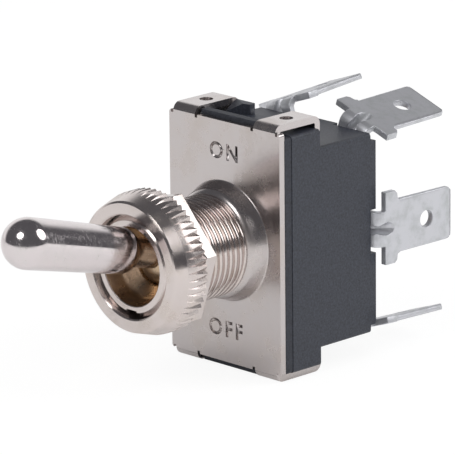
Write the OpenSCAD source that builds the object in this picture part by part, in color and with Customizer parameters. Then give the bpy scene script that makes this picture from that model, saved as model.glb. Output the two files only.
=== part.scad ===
// Panel toggle switch, two pole, two throw, with flat quick-connect terminals.
// Millimetres. X to the right, Y into the panel, Z up. The origin is on the bushing's
// axis, in the plane of the frame's front face. The lever is drawn thrown up.

/* [Frame] */
// Width of the frame plate
plate_w = 17.75; // [17.4:0.05:18]
// Height of the frame plate between its folded tabs
plate_h = 28.5; // [28.4:0.1:29]
// Distance of the frame's middle below the bushing's axis
frame_drop = 0.2; // [0.1:0.05:0.3]
// Thickness of the sheet
sheet_t = 0.8; // [0.7:0.05:0.9]
// Width of each folded tab
tab_w = 3.5; // [3:0.1:4]
// Distance from the middle to the middle of a tab
tab_x = 6.45; // [6.2:0.05:6.7]
// Height from the frame's middle to the outer face of the tabs
tab_z = 15.1; // [15:0.05:15.3]
// Outside radius of the folds
fold_r = 1; // [0.9:0.05:1.1]
// Height of the drawn boss round the bushing
boss_h = 2.4; // [2.2:0.1:2.6]

/* [Housing] */
// Width of the housing
housing_w = 18; // [17.8:0.1:18.2]
// Height of the housing's flange
flange_h = 27.9; // [27.8:0.1:28]
// Distance of the housing's middle below the bushing's axis
housing_drop = 0.45; // [0.4:0.01:0.5]
// Height of the block behind the flange
block_h = 23.8; // [23.4:0.1:24.2]
// Thickness of the insulating liner
liner_t = 1.1; // [1:0.05:1.3]
// Depth of the flange's rear face
flange_y = 6.4; // [6.2:0.1:6.6]
// Depth of the face that the terminals lie on
floor_y = 14.65; // [14.5:0.05:14.7]
// Height of the lip round that face
lip_h = 0.85; // [0.8:0.05:0.95]

/* [Bushing and nuts] */
// Outside diameter of the thread
thread_d = 11.9; // [11.85:0.05:11.95]
// Distance from the frame's front face to the bushing's rim
bushing_y = 14.8; // [14.6:0.1:15]
// Inside diameter at the rim
mouth_d = 9.2; // [9:0.1:9.4]
// Width of the keyway
key_w = 1.9; // [1.6:0.1:2.2]
// Depth of the keyway
key_depth = 0.9; // [0.7:0.05:1]
// Diameter of the dress nut
dress_d = 16.6; // [16.4:0.1:16.8]
// Thickness of the dress nut
dress_t = 4.4; // [4.2:0.1:4.5]
// Number of teeth in the dress nut's knurl
knurl_n = 60; // [48:2:64]
// Width across the hex nut's flats
hex_af = 14.28; // [14:0.01:14.3]
// Thickness of the hex nut
hex_t = 1.65; // [1.5:0.05:1.8]

/* [Lever] */
// Angle of the thrown lever from the middle
throw_angle = 14.92; // [14:0.01:15]
// Distance of the pivot in front of the frame's face
pivot_y = 8.03; // [8:0.01:8.1]
// Distance from the pivot to the centre of the round tip
tip_s = 23.07; // [20:0.01:24]
// Radius of the round tip
tip_r = 2.94; // [2.8:0.01:3]
// Radius of the bat at its shoulder
shoulder_r = 2.66; // [2.6:0.01:2.7]
// Radius of the neck
neck_r = 1.75; // [1.6:0.05:1.8]

/* [Terminals] */
// Width of a blade
blade_w = 6.35; // [6.3:0.01:6.4]
// Thickness of a terminal
blade_t = 0.8; // [0.77:0.01:0.82]
// Length from the ears' front edge to the blade's end
blade_l = 10.75; // [10.4:0.05:11]
// Width across the ears
ear_w = 8.65; // [8.4:0.05:8.8]
// Width of the neck
neck_w = 4.2; // [4:0.1:4.3]
// Diameter of the hole in the blade
eye_d = 2; // [1.8:0.05:2.2]
// Turn of the outer terminals from square
fan_angle = 19.5; // [18:0.5:21]
// Outward lean of the blades
lean = 2; // [1:0.5:3]
// Outward lean of the top left blade
top_left_lean = 3.7; // [3:0.1:4]

/* [Contacts] */
// Distance from the middle to each pole
pole_x = 4; // [3.9:0.05:4.1]
// Distance from the middle to the outer contacts
contact_z = 5.9; // [5.8:0.1:6]
// Tilt of the rocker contacts
rocker_tilt = 8; // [7:0.5:8]
// Bend of the rockers' arms
rocker_bend = 15.6; // [15:0.1:16]

/* [Hidden] */
$fn = 64;

nickel = [0.78, 0.76, 0.73];
chrome = [0.85, 0.85, 0.86];
tin = [0.72, 0.73, 0.75];
moulding = [0.2, 0.2, 0.23];
nylon = [0.85, 0.82, 0.72];
copper = [0.75, 0.5, 0.35];
steel = [0.6, 0.6, 0.62];
eps = 0.01;

thread_r = thread_d / 2;
hinge_play = 0.05;

// Frame: sections of the boss and places of the tabs
boss_foot_r = 6.94;
boss_foot_blend = 0.2;
boss_draft = 18;
boss_shoulder_r = 5.49;
boss_top_r = 5.7;
boss_top_blend = 1;
boss_hole_r = 5.3;
boss_hollow_r = 6;
relief_w = 0.4;
relief_d = 0.35;
fold_in_r = fold_r - sheet_t;
hook_y = flange_y + sheet_t;
hook_z = 13.25;
tab_eye_r = 0.8;
tab_eye_y = 3.6;
tab_eye_depth = 0.35;

// Liner and housing
liner_h = 27.8;
liner_tongue_w = 8.9;
liner_tongue_z = 14.95;
liner_w = 17.9;
liner_hole_w = 12.8;
liner_hole_h = 11.2;
housing_y = sheet_t + liner_t;
corner_r = 0.4;
cavity_w = 14.6;
cavity_h = 20.6;
cavity_y = 11;
lip_t = 0.8;
lip_side_h = 21.9;
lip_end_w = 5.8;
side_notch_top = 2.35;
side_notch_bottom = -2.85;
// Plan of the key moulded on the flange's top, whose front corner is a ramp
key_plan = [[-4.6, 4.8], [-1.2, 5.5], [-1.2, flange_y], [-4.6, flange_y]];
key_h = 1.25;
key_round = 0.3;
key_ramp_l = 1.56;
key_ramp_turn = -27.6;

// Bushing
bushing_back_y = -0.6;
boss_land_y = -boss_h + sheet_t;
stake_r = 5.9;
bore_r = 4.1;
seat_r = 4.2;
throat_r = 2.85;
throat_l = 0.3;
rim_chamfer = 0.65;
thread_pitch = 25.4 / 32;
thread_depth = 0.4;
thread_land = 0.1;
pin_r = 0.75;
pin_reach = 4.9;

// Nuts
nut_bore_r = thread_r + hinge_play;
hex_back_y = 9.15;
hex_front_y = hex_back_y + hex_t;
hex_turn = 12;
hex_chamfer_t = 0.2;
hex_chamfer_w = 0.4;
dress_front_y = hex_front_y + dress_t;
dress_r = dress_d / 2;
dress_face_r = 7.35;
dress_shoulder_l = 1.2;
dress_countersink = 0.4;
knurl_l = 2.4;
knurl_depth = 0.36;

// Lever
ball_r = 4;
shoulder_s = 8.9;
shoulder_blend = 2;
tail_r = 1.9;
tail_s = 12;

// Crossbar, plungers and springs, measured along the lever from the pivot
bar_front_s = 9.8;
bar_back_s = 13;
bar_w = 11.4;
bar_h = 3.6;
plunger_r = 1;
plunger_tip_s = 15.6;
plunger_head_l = 1;
spring_wire_r = 0.16;
spring_r = 0.62;
spring_turns = 4;
pocket_r = 1.05;
pocket_s = 10.4;
plunger_back_s = 12;

// Rocker contacts and rivets
rocker_t = 0.8;
rocker_w = 3.4;
rocker_arm = 6.7;
rocker_front_y = 7.98;
rocker_y = rocker_front_y + rocker_t;
pad_r = 1.1;
pad_t = 0.35;
post_r = 1.5;
post_play = 0.15;
pad_play = 0.2;
button_r = 1.6;
shank_r = 1;
clinch_r = 1.5;
clinch_t = 0.5;

// Terminals
bend_in_r = 0.5;
bend_out_r = bend_in_r + blade_t;
ear_y = 16.05;
ear_l = 1.9;
middle_reach = 5.7;
outer_reach = 6.79;
blade_bevel_t = 0.2;
blade_bevel_w = 0.35;
blade_corner_r = 0.9;
eye_from_ear = 6.6;
rib_r = 0.75;
rib_wall = 0.6;
rib_offset = 0.68;

// Points of an arc in the plane, from one angle to another
function arc(cx, cy, r, from, to, steps = 8) =
    [for (i = [0:steps]) let (a = from + (to - from) * i / steps) [cx + r * cos(a), cy + r * sin(a)]];

// Turns a solid drawn along +Z so that it points out of the panel, along -Y
module forward() {
    rotate([90, 0, 0]) children();
}

// The lever's own frame: +Z runs from the pivot towards the tip
module on_lever() {
    translate([0, -pivot_y, 0]) rotate([90 - throw_angle, 0, 0]) children();
}

// A flat drawn in Y and Z, made w wide about x
module across(x, w) {
    translate([x - w / 2, 0, 0]) rotate([90, 0, 90]) linear_extrude(w) children();
}

module rounded_rect(w, h, r) {
    for (x = [-1, 1], z = [-1, 1])
        translate([x * (w / 2 - r), z * (h / 2 - r)]) circle(r);
    square([w - 2 * r, h], center = true);
    square([w, h - 2 * r], center = true);
}

// A plate in X and Z, from one depth to another
module slab(from_y, to_y) {
    translate([0, to_y, 0]) rotate([90, 0, 0]) linear_extrude(to_y - from_y) children();
}

// Side view of one upper tab: up from the plate, back over the flange and down behind it
module tab_section() {
    fold_z = tab_z - fold_r;
    translate([0, plate_h / 2 - 2]) square([sheet_t, fold_z - plate_h / 2 + 2]);
    intersection() {
        difference() {
            translate([fold_r, fold_z]) circle(fold_r);
            translate([fold_r, fold_z]) circle(fold_in_r);
        }
        translate([0, fold_z]) square([fold_r, fold_r]);
    }
    translate([fold_r, tab_z - sheet_t]) square([hook_y - 2 * fold_r, sheet_t]);
    intersection() {
        difference() {
            translate([hook_y - fold_r, fold_z]) circle(fold_r);
            translate([hook_y - fold_r, fold_z]) circle(fold_in_r);
        }
        translate([hook_y - fold_r, fold_z]) square([fold_r, fold_r]);
    }
    translate([flange_y, hook_z]) square([sheet_t, fold_z - hook_z]);
}

module boss_skin() {
    forward() rotate_extrude() polygon(concat(
        [[boss_hole_r, boss_h]],
        [[boss_top_r, boss_h]],
        arc(boss_shoulder_r, boss_h - boss_top_blend, boss_top_blend, 75, boss_draft, 10),
        arc(boss_foot_r + boss_foot_blend, boss_foot_blend, boss_foot_blend, 180 + boss_draft, 270, 4),
        [[boss_foot_r + boss_foot_blend, -sheet_t], [boss_hollow_r, -sheet_t],
         [boss_hollow_r, boss_h - sheet_t], [boss_hole_r, boss_h - sheet_t]]));
}

// The flat sheet with its folded tabs, round its own middle
module plate() {
    difference() {
        slab(0, sheet_t) rounded_rect(plate_w, plate_h, corner_r);
        // Relief cuts beside the root of each tab
        for (x = [-1, 1], s = [-1, 1], z = [-1, 1])
            translate([x * tab_x + s * (tab_w + relief_w) / 2 - relief_w / 2,
                       -eps, z * plate_h / 2 - relief_d])
                cube([relief_w, sheet_t + 2 * eps, 2 * relief_d]);
    }
    for (x = [-tab_x, tab_x], m = [0, 1])
        mirror([0, 0, m]) difference() {
            across(x, tab_w) tab_section();
            // Staking mark in the back of the tab
            translate([x, tab_eye_y, tab_z - tab_eye_depth / 2])
                cylinder(r = tab_eye_r, h = tab_eye_depth + eps, center = true);
        }
}

module frame() {
    color(nickel) {
        difference() {
            translate([0, 0, -frame_drop]) plate();
            forward() translate([0, 0, -2 * sheet_t]) cylinder(r = boss_hollow_r + 0.4, h = 3 * sheet_t);
        }
        boss_skin();
    }
}

module liner() {
    color(moulding) difference() {
        slab(sheet_t, housing_y) {
            translate([0, -housing_drop]) rounded_rect(liner_w, liner_h, corner_r);
            // Tongues that show between the tabs
            translate([0, -(frame_drop + housing_drop) / 2])
                square([liner_tongue_w, 2 * liner_tongue_z], center = true);
        }
        slab(0, housing_y + 1) rounded_rect(liner_hole_w, liner_hole_h, 1);
    }
}

// Lip round the terminal face, in X and Z, cut away where the terminals leave it
module lip_plan() {
    difference() {
        translate([0, -housing_drop]) {
            square([housing_w, lip_side_h], center = true);
            square([lip_end_w, block_h], center = true);
        }
        translate([0, -housing_drop]) square([housing_w - 2 * lip_t, block_h - 2 * lip_t], center = true);
        translate([-housing_w, side_notch_bottom])
            square([2 * housing_w, side_notch_top - side_notch_bottom]);
    }
}

module key() {
    foot_z = flange_h / 2;
    top_z = foot_z + key_h;
    intersection() {
        linear_extrude(top_z) offset(key_round) offset(-key_round) polygon(key_plan);
        translate([key_plan[0].x, key_plan[0].y, 0]) rotate(key_ramp_turn) across(0, housing_w)
            polygon([[0, 0], [0, foot_z], [key_ramp_l, top_z], [flange_y, top_z], [flange_y, 0]]);
    }
}

module housing() {
    color(moulding) difference() {
        union() {
            translate([0, 0, -housing_drop]) {
                slab(housing_y, flange_y) rounded_rect(housing_w, flange_h, corner_r);
                slab(flange_y - 1, floor_y) rounded_rect(housing_w, block_h, corner_r);
                key();
            }
            slab(cavity_y, floor_y + lip_h) lip_plan();
        }
        slab(0, cavity_y) rounded_rect(cavity_w, cavity_h, 1);
        for (x = [-pole_x, pole_x], z = [-contact_z, 0, contact_z])
            translate([x, cavity_y - 1, z]) rotate([-90, 0, 0]) cylinder(r = shank_r, h = floor_y);
    }
}

module bushing() {
    // The seat is part of a sphere round the pivot
    seat_angle = acos(throat_r / seat_r);
    throat_y = pivot_y + seat_r * sin(seat_angle);
    thread_end = bushing_y - rim_chamfer;
    threads = floor((thread_end - boss_h) / thread_pitch);
    // Grooves stand in for the thread's turns, counted from the rim
    grooves = [for (i = [threads:-1:1], corner = [0:3])
        let (y = thread_end - i * thread_pitch, half = thread_land / 2)
            [[thread_r, y + half],
             [thread_r - thread_depth, y + (thread_pitch - thread_land) / 2],
             [thread_r - thread_depth, y + (thread_pitch + thread_land) / 2],
             [thread_r, y + thread_pitch - half]][corner]];
    color(nickel) difference() {
        forward() rotate_extrude() polygon(concat(
            [[bore_r, bushing_back_y + 1.2], [stake_r, bushing_back_y + 1.2],
             [stake_r, -boss_land_y], [boss_hole_r, -boss_land_y],
             [boss_hole_r, boss_h], [thread_r, boss_h]],
            grooves,
            [[thread_r, thread_end], [thread_r - rim_chamfer, bushing_y],
             [mouth_d / 2, bushing_y], [throat_r, throat_y + throat_l]],
            arc(0, pivot_y, seat_r, seat_angle, acos(bore_r / seat_r), 6)));
        translate([-key_w / 2, -bushing_y - 1, -thread_r - 1])
            cube([key_w, bushing_y - boss_h + 1, 1 + key_depth]);
        // Slots that the pivot pin was slid along
        translate([0, -pivot_y, 0]) rotate([0, 90, 0])
            cylinder(r = pin_r + hinge_play, h = 2 * (pin_reach + hinge_play), center = true);
        translate([-pin_reach - hinge_play, -pivot_y, -pin_r - hinge_play])
            cube([2 * (pin_reach + hinge_play), pivot_y + 1, 2 * (pin_r + hinge_play)]);
    }
}

module hex_nut() {
    corner = hex_af / sqrt(3);
    color(nickel) forward() translate([0, 0, hex_back_y]) difference() {
        intersection() {
            rotate([0, 0, hex_turn]) cylinder(r = corner, h = hex_t, $fn = 6);
            rotate_extrude() polygon([[0, 0], [corner + 0.05, 0], [corner + 0.05, hex_t - hex_chamfer_t],
                                      [corner - hex_chamfer_w, hex_t], [0, hex_t]]);
        }
        translate([0, 0, -1]) cylinder(r = nut_bore_r, h = hex_t + 2);
    }
}

module dress_nut() {
    lean_out = atan(knurl_depth / knurl_l);
    color(nickel) forward() translate([0, 0, hex_front_y]) difference() {
        rotate_extrude() polygon(concat(
            [[nut_bore_r, 0], [dress_r, 0]],
            arc(dress_face_r, dress_t - dress_shoulder_l, dress_r - dress_face_r, 0, 60, 5),
            [[dress_face_r, dress_t], [nut_bore_r + dress_countersink, dress_t],
             [nut_bore_r, dress_t - dress_countersink]]));
        // Grooves of the knurl, which run out to a point towards the front
        for (i = [1:knurl_n])
            rotate(360 * i / knurl_n) translate([dress_r - knurl_depth, 0, 0]) rotate([0, lean_out, 0])
                translate([0, 0, -1]) rotate(-45) cube([1, 1, knurl_l + 2]);
    }
}

module lever() {
    tip_angle = asin((tip_r - shoulder_r) / (tip_s - shoulder_s));
    // Angle at which the rounded rear end of the bat meets the neck
    shoulder_angle = acos((neck_r - shoulder_r + shoulder_blend) / shoulder_blend);
    color(chrome) on_lever() difference() {
        rotate_extrude() polygon(concat(
            [[0, -tail_s], [tail_r, -tail_s]],
            arc(0, 0, ball_r, -acos(tail_r / ball_r), acos(neck_r / ball_r), 20),
            arc(shoulder_r - shoulder_blend, shoulder_s, shoulder_blend, -shoulder_angle, 0, 12),
            arc(0, tip_s, tip_r, -tip_angle, 90, 16)));
        rotate([0, 90, 0]) cylinder(r = pin_r, h = 3 * ball_r, center = true);
    }
}

module pivot_pin() {
    color(steel) translate([0, -pivot_y, 0]) rotate([0, 90, 0])
        cylinder(r = pin_r, h = 2 * pin_reach, center = true);
}

module crossbar() {
    color(nylon) on_lever() difference() {
        translate([-bar_w / 2, -bar_h / 2, -bar_back_s]) cube([bar_w, bar_h, bar_back_s - bar_front_s]);
        translate([0, 0, -tail_s]) cylinder(r = tail_r, h = tail_s);
        for (x = [-pole_x, pole_x])
            translate([x, 0, -bar_back_s - 1]) cylinder(r = pocket_r, h = 1 + bar_back_s - pocket_s);
    }
}

module plunger(x) {
    color(copper) on_lever() translate([x, 0, 0]) rotate_extrude() polygon(concat(
        [[0, -plunger_back_s], [plunger_r, -plunger_back_s]],
        arc(0, -plunger_tip_s + plunger_r, plunger_r, 0, -90, 6)));
}

module plunger_left() { plunger(-pole_x); }
module plunger_right() { plunger(pole_x); }

// A coil spring, as a tube swept along its helix
module coil(r, wire_r, length, turns) {
    sides = 6;
    steps = turns * 12;
    points = [for (i = [0:steps], j = [0:sides - 1])
        let (a = 360 * turns * i / steps, b = 360 * j / sides, d = r + wire_r * cos(b))
            [d * cos(a), d * sin(a), length * i / steps + wire_r * sin(b)]];
    walls = [for (i = [0:steps - 1], j = [0:sides - 1])
        let (k = (j + 1) % sides, p = i * sides) [p + j, p + j + sides, p + k + sides, p + k]];
    ends = [[for (j = [0:sides - 1]) j], [for (j = [sides - 1:-1:0]) steps * sides + j]];
    polyhedron(points, concat(walls, ends), convexity = 6);
}

module plunger_spring(x) {
    length = plunger_back_s - pocket_s - 2 * spring_wire_r;
    color(steel) on_lever() translate([x, 0, -pocket_s - spring_wire_r]) mirror([0, 0, 1])
        coil(spring_r, spring_wire_r, length, spring_turns);
}

module plunger_spring_left() { plunger_spring(-pole_x); }
module plunger_spring_right() { plunger_spring(pole_x); }

// A rocker contact: two arms bent forward from the middle, with a pad under each end
module rocker(x) {
    color(copper) translate([x, rocker_y, 0]) rotate([rocker_tilt, 0, 0]) difference() {
        union() {
            for (m = [0, 1])
                mirror([0, 0, m]) rotate([rocker_bend, 0, 0]) {
                    translate([-rocker_w / 2, -rocker_t, 0]) cube([rocker_w, rocker_t, rocker_arm]);
                    translate([0, -eps, contact_z]) rotate([-90, 0, 0]) cylinder(r = pad_r, h = pad_t + eps);
                }
            rotate([0, 90, 0]) translate([0, -rocker_t / 2, 0])
                cylinder(r = rocker_t / 2 + 0.1, h = rocker_w, center = true);
        }
        // Seat for the rounded head of the middle post
        translate([0, post_r * 0.8, 0]) sphere(r = post_r);
    }
}

module rocker_left() { rocker(-pole_x); }
module rocker_right() { rocker(pole_x); }

// A contact rivet: face inside the housing, shank through it, clinched on the terminal
module rivet(x, z, head_r, face_y) {
    color(copper) translate([x, 0, z]) rotate([-90, 0, 0]) {
        translate([0, 0, face_y]) cylinder(r = head_r, h = cavity_y - face_y);
        translate([0, 0, face_y + eps]) cylinder(r = shank_r, h = floor_y + blade_t - face_y);
        translate([0, 0, floor_y + blade_t]) rotate_extrude() polygon([[0, 0], [clinch_r, 0],
            [clinch_r, 0.2], [clinch_r - 0.4, clinch_t], [0, clinch_t]]);
    }
}

module button_rivet(x, z) {
    rivet(x, z, button_r, button_face_y);
}

// A middle post, with a rounded head that the rocker tilts on
module post_rivet(x) {
    head_y = rocker_y + post_r * 0.8 + post_play;
    rivet(x, 0, post_r, head_y);
    color(copper) translate([x, head_y, 0]) rotate([90, 0, 0])
        rotate_extrude() polygon(concat([[0, 0]], arc(0, 0, post_r, 0, 90)));
}

// Where a pressed rocker pad stands over its outer contact
button_face_y = rocker_y + pad_t - contact_z * sin(rocker_bend - rocker_tilt) + pad_play;

module rivet_top_left() { button_rivet(-pole_x, contact_z); }
module rivet_top_right() { button_rivet(pole_x, contact_z); }
module rivet_middle_left() { post_rivet(-pole_x); }
module rivet_middle_right() { post_rivet(pole_x); }
module rivet_bottom_left() { button_rivet(-pole_x, -contact_z); }
module rivet_bottom_right() { button_rivet(pole_x, -contact_z); }

// Half of a blade's outline, as distance from its middle line and length from the bend
ear_from = ear_y - floor_y - blade_t - bend_in_r;
blade_end = ear_from + blade_l;
blade_half = concat(
    [[0, 0], [neck_w / 2, 0], [neck_w / 2, ear_from], [ear_w / 2, ear_from],
     [ear_w / 2, ear_from + ear_l - 0.35], [ear_w / 2 - 0.35, ear_from + ear_l],
     [blade_w / 2 + 0.15, ear_from + ear_l + 0.1], [blade_w / 2, ear_from + ear_l + 0.4]],
    arc(blade_w / 2 - blade_corner_r, blade_end - blade_corner_r, blade_corner_r, 0, 90),
    [[0, blade_end]]);

// The standing part of a terminal, with +X as its outer side and +Y along the blade
module blade() {
    root = ear_from + ear_l;
    half = blade_w / 2;
    difference() {
        intersection() {
            translate([bend_in_r, 0, 0]) rotate([90, 0, 90]) linear_extrude(blade_t)
                for (m = [0, 1]) mirror([0, m]) rotate(90) mirror([0, 1]) polygon(blade_half);
            union() {
                translate([bend_in_r, -1, -ear_w]) cube([blade_t, root + 1.4, 2 * ear_w]);
                translate([bend_in_r, 0, 0]) rotate([-90, 0, 0]) linear_extrude(blade_end - blade_bevel_w)
                    polygon([[0, half - blade_bevel_w], [blade_bevel_t, half], [blade_t - blade_bevel_t, half],
                             [blade_t, half - blade_bevel_w], [blade_t, blade_bevel_w - half],
                             [blade_t - blade_bevel_t, -half], [blade_bevel_t, -half],
                             [0, blade_bevel_w - half]]);
                translate([bend_in_r, blade_end, 0]) linear_extrude(blade_w - 2 * blade_bevel_w, center = true)
                    polygon([[0, -2], [0, -blade_bevel_w], [blade_bevel_t, 0],
                             [blade_t - blade_bevel_t, 0], [blade_t, -blade_bevel_w], [blade_t, -2]]);
            }
        }
        translate([0, ear_from + eye_from_ear, 0]) rotate([0, 90, 0]) cylinder(d = eye_d, h = 4);
    }
}

// A terminal that lies on the rear face from its rivet and turns back into a blade
module terminal(x, z, direction, reach, lean_out = lean) {
    bend_x = reach - blade_t / 2 - bend_in_r;
    bend_y = floor_y + blade_t + bend_in_r;
    color(tin) translate([x, 0, z]) rotate([0, -direction, 0]) difference() {
        union() {
            translate([0, floor_y, 0]) rotate([-90, 0, 0]) cylinder(r = neck_w / 2, h = blade_t);
            translate([0, floor_y, -neck_w / 2]) cube([bend_x, blade_t, neck_w]);
            translate([bend_x, bend_y, 0]) {
                rotate([0, 0, -90]) rotate_extrude(angle = 90 - lean_out)
                    translate([bend_in_r, -neck_w / 2]) square([blade_t, neck_w]);
                rotate([0, 0, -lean_out]) blade();
                // Inside of the pressed rib that stiffens the bend
                intersection() {
                    rotate([0, 0, -45]) translate([rib_offset, 0, 0]) rotate([90, 0, 0])
                        cylinder(r = rib_r + rib_wall, h = 8, center = true);
                    translate([-5, -bend_out_r + 0.4, -5]) cube([5 + bend_out_r - 0.4, 8, 10]);
                }
            }
        }
        translate([bend_x, bend_y, 0]) rotate([0, 0, -45]) translate([rib_offset, 0, 0]) rotate([90, 0, 0])
            cylinder(r = rib_r, h = 8, center = true);
        rotate([-90, 0, 0]) cylinder(r = shank_r, h = 2 * floor_y);
    }
}

module terminal_top_left() {
    terminal(-pole_x, contact_z, 90 + fan_angle, outer_reach, top_left_lean);
}

module terminal_top_right() { terminal(pole_x, contact_z, 90 - fan_angle, outer_reach); }
module terminal_middle_left() { terminal(-pole_x, 0, 180, middle_reach); }
module terminal_middle_right() { terminal(pole_x, 0, 0, middle_reach); }
module terminal_bottom_left() { terminal(-pole_x, -contact_z, -90 - fan_angle, outer_reach); }
module terminal_bottom_right() { terminal(pole_x, -contact_z, -90 + fan_angle, outer_reach); }

frame();
liner();
housing();
bushing();
dress_nut();
hex_nut();
lever();
pivot_pin();
crossbar();
plunger_left();
plunger_right();
plunger_spring_left();
plunger_spring_right();
rocker_left();
rocker_right();
terminal_top_left();
terminal_top_right();
terminal_middle_left();
terminal_middle_right();
terminal_bottom_left();
terminal_bottom_right();
rivet_top_left();
rivet_top_right();
rivet_middle_left();
rivet_middle_right();
rivet_bottom_left();
rivet_bottom_right();
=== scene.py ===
"""The looks of a panel toggle switch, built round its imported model.

Metres, in the frame of the CAD model: X to the right, Y into the panel, Z up, with the
origin on the bushing's axis, in the plane of the frame's front face.
"""

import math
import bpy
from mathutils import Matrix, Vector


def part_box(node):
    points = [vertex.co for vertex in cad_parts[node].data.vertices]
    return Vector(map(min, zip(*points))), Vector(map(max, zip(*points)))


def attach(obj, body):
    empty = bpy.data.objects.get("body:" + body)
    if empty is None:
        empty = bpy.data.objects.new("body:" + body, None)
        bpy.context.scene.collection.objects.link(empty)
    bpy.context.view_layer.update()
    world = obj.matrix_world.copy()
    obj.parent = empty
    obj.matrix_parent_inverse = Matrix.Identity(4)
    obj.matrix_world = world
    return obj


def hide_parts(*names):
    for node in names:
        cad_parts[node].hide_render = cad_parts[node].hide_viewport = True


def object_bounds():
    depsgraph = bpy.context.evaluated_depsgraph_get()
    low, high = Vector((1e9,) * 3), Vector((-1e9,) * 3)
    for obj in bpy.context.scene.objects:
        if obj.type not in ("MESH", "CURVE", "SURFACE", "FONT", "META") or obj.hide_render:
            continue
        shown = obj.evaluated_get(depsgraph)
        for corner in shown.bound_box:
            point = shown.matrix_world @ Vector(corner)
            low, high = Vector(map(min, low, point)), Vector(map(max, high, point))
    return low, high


bl_info = {
    "name": "Panel Toggle Switch",
    "version": (1, 0, 0),
    "blender": (4, 5, 0),
    "location": "View3D > Sidebar > Toggle Switch",
    "description": "Dresses the packed model of a panel toggle switch with detailed pieces and finishes",
    "category": "Object",
}

import bmesh
import bpy
from bpy.props import (
    FloatProperty,
    FloatVectorProperty,
    IntProperty,
    PointerProperty,
    StringProperty,
)
from mathutils import Matrix, Vector

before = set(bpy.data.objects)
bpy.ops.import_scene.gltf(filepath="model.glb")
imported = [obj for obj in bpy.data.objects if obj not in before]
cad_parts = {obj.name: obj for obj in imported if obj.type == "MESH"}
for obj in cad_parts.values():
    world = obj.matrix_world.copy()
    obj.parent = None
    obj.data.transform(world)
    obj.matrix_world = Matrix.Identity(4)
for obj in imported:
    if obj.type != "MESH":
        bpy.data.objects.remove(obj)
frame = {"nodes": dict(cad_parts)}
CAD_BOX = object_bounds()

MM = 0.001
SIDES = ("left", "right")
ROWS = ("top", "middle", "bottom")
FORWARD = Matrix.Rotation(math.radians(90), 4, "X")  # turns +Z into -Y, out of the panel
STRAIGHT_DOWN = 1.5 * math.pi  # as an angle round a turned piece, once it points forward

# Sizes of the bushing as in the CAD model, in millimetres
STAKE_RADIUS = 5.9  # of its flange behind the frame
STAKE_THICKNESS = 1
BOSS_HOLE_RADIUS = 5.3
KEY_WIDTH = 1.9
KEY_DEPTH = 0.9
KEY_START = 0.3  # in front of the boss

# Roundings of small pieces, in millimetres
RIVET_EDGE = 0.05
INNER_EDGE = 0.06

# Below these, points are one point and faces are one face
SAME_POINT = 1e-4  # in millimetres, on the script's own shapes
SAME_CAD_POINT = 2e-6  # in metres
SAME_FACE = math.radians(0.5)

CAMERA_OFFSET = (0.3007, 1.4930)  # to the right and up, in millimetres
CAMERA_SHADE = 0.15  # part of the floor's shade that the camera sees
CAMERA_GLOW = 0.905
MIRRORED_GLOW = 0.2
FLOOR_RADIUS = 4
BACKDROP_SIDE = (-0.55, 0.55, -0.63)  # where polished metal sees the pale backdrop


def cad_low(node):
    """Lowest corner of a CAD node, in millimetres."""
    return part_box(node)[0] / MM


def cad_high(node):
    """Highest corner of a CAD node, in millimetres."""
    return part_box(node)[1] / MM


# Settings


def size_mm(name, description, default, low, high):
    return FloatProperty(
        name=name, description=description + ", in millimetres",
        default=default, min=low, max=high, precision=3,
    )


def count(name, description, default, low, high):
    return IntProperty(name=name, description=description, default=default, min=low, max=high)


def letters(name, description, default):
    return StringProperty(name=name, description=description, default=default)


def colour(name, description, default):
    return FloatVectorProperty(
        name=name, description=description, default=default, subtype="COLOR", size=3, min=0, max=1
    )


def share(name, description, default):
    return FloatProperty(
        name=name, description=description, default=default, min=0, max=1, subtype="FACTOR"
    )


def angle_of(name, description, degrees):
    return FloatProperty(
        name=name, description=description, default=math.radians(degrees), subtype="ANGLE"
    )


def watts(name, description, default):
    return FloatProperty(name=name, description=description + ", in watts", default=default, min=0)


class FrameSettings(bpy.types.PropertyGroup):
    upper_word: letters("Upper word", "Word stamped over the bushing", "ON")
    lower_word: letters("Lower word", "Word stamped under the bushing", "OFF")
    letter_height: size_mm("Letter height", "Height of the stamped letters", 2, 1, 3)
    letter_depth: size_mm("Letter depth", "Depth of the stamping", 0.16, 0.05, 0.4)
    letter_weight: FloatProperty(
        name="Letter weight", description="Thickening of the letters' strokes, as a part of their size",
        default=0.025, min=0, max=0.1, precision=3,
    )
    letter_z: size_mm("Letter place", "Height of the upper word over the middle", 10.5, 9, 12)


class HousingSettings(bpy.types.PropertyGroup):
    liner_edge: size_mm("Liner edge rounding", "Rounding of the liner's edges", 0.08, 0.02, 0.2)


class ThreadSettings(bpy.types.PropertyGroup):
    pitch: size_mm("Pitch", "Pitch of the thread", 25.4 / 32, 0.4, 2)
    depth: size_mm("Depth", "Depth of the thread's grooves", 0.42, 0.1, 1)
    columns: count("Columns", "Steps round the thread", 144, 48, 288)
    rim_chamfer: size_mm("Rim chamfer", "Chamfer of the bushing's rim", 0.65, 0.1, 1)
    mouth_radius: size_mm("Mouth radius", "Inside radius at the rim", 4.6, 3, 5)
    throat_radius: size_mm("Throat radius", "Radius of the narrowest part", 2.85, 2, 4)
    seat_radius: size_mm("Seat radius", "Radius of the ball's seat", 4.05, 3, 5)
    bore_radius: size_mm("Bore radius", "Radius behind the seat", 4.04, 3, 5)
    bowl_radius: size_mm("Bowl radius", "Radius where the mouth's wall turns in", 4.2, 3, 5)
    bowl_depth: size_mm("Bowl depth", "Depth of that turn from the rim", 2.2, 1, 3)


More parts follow.
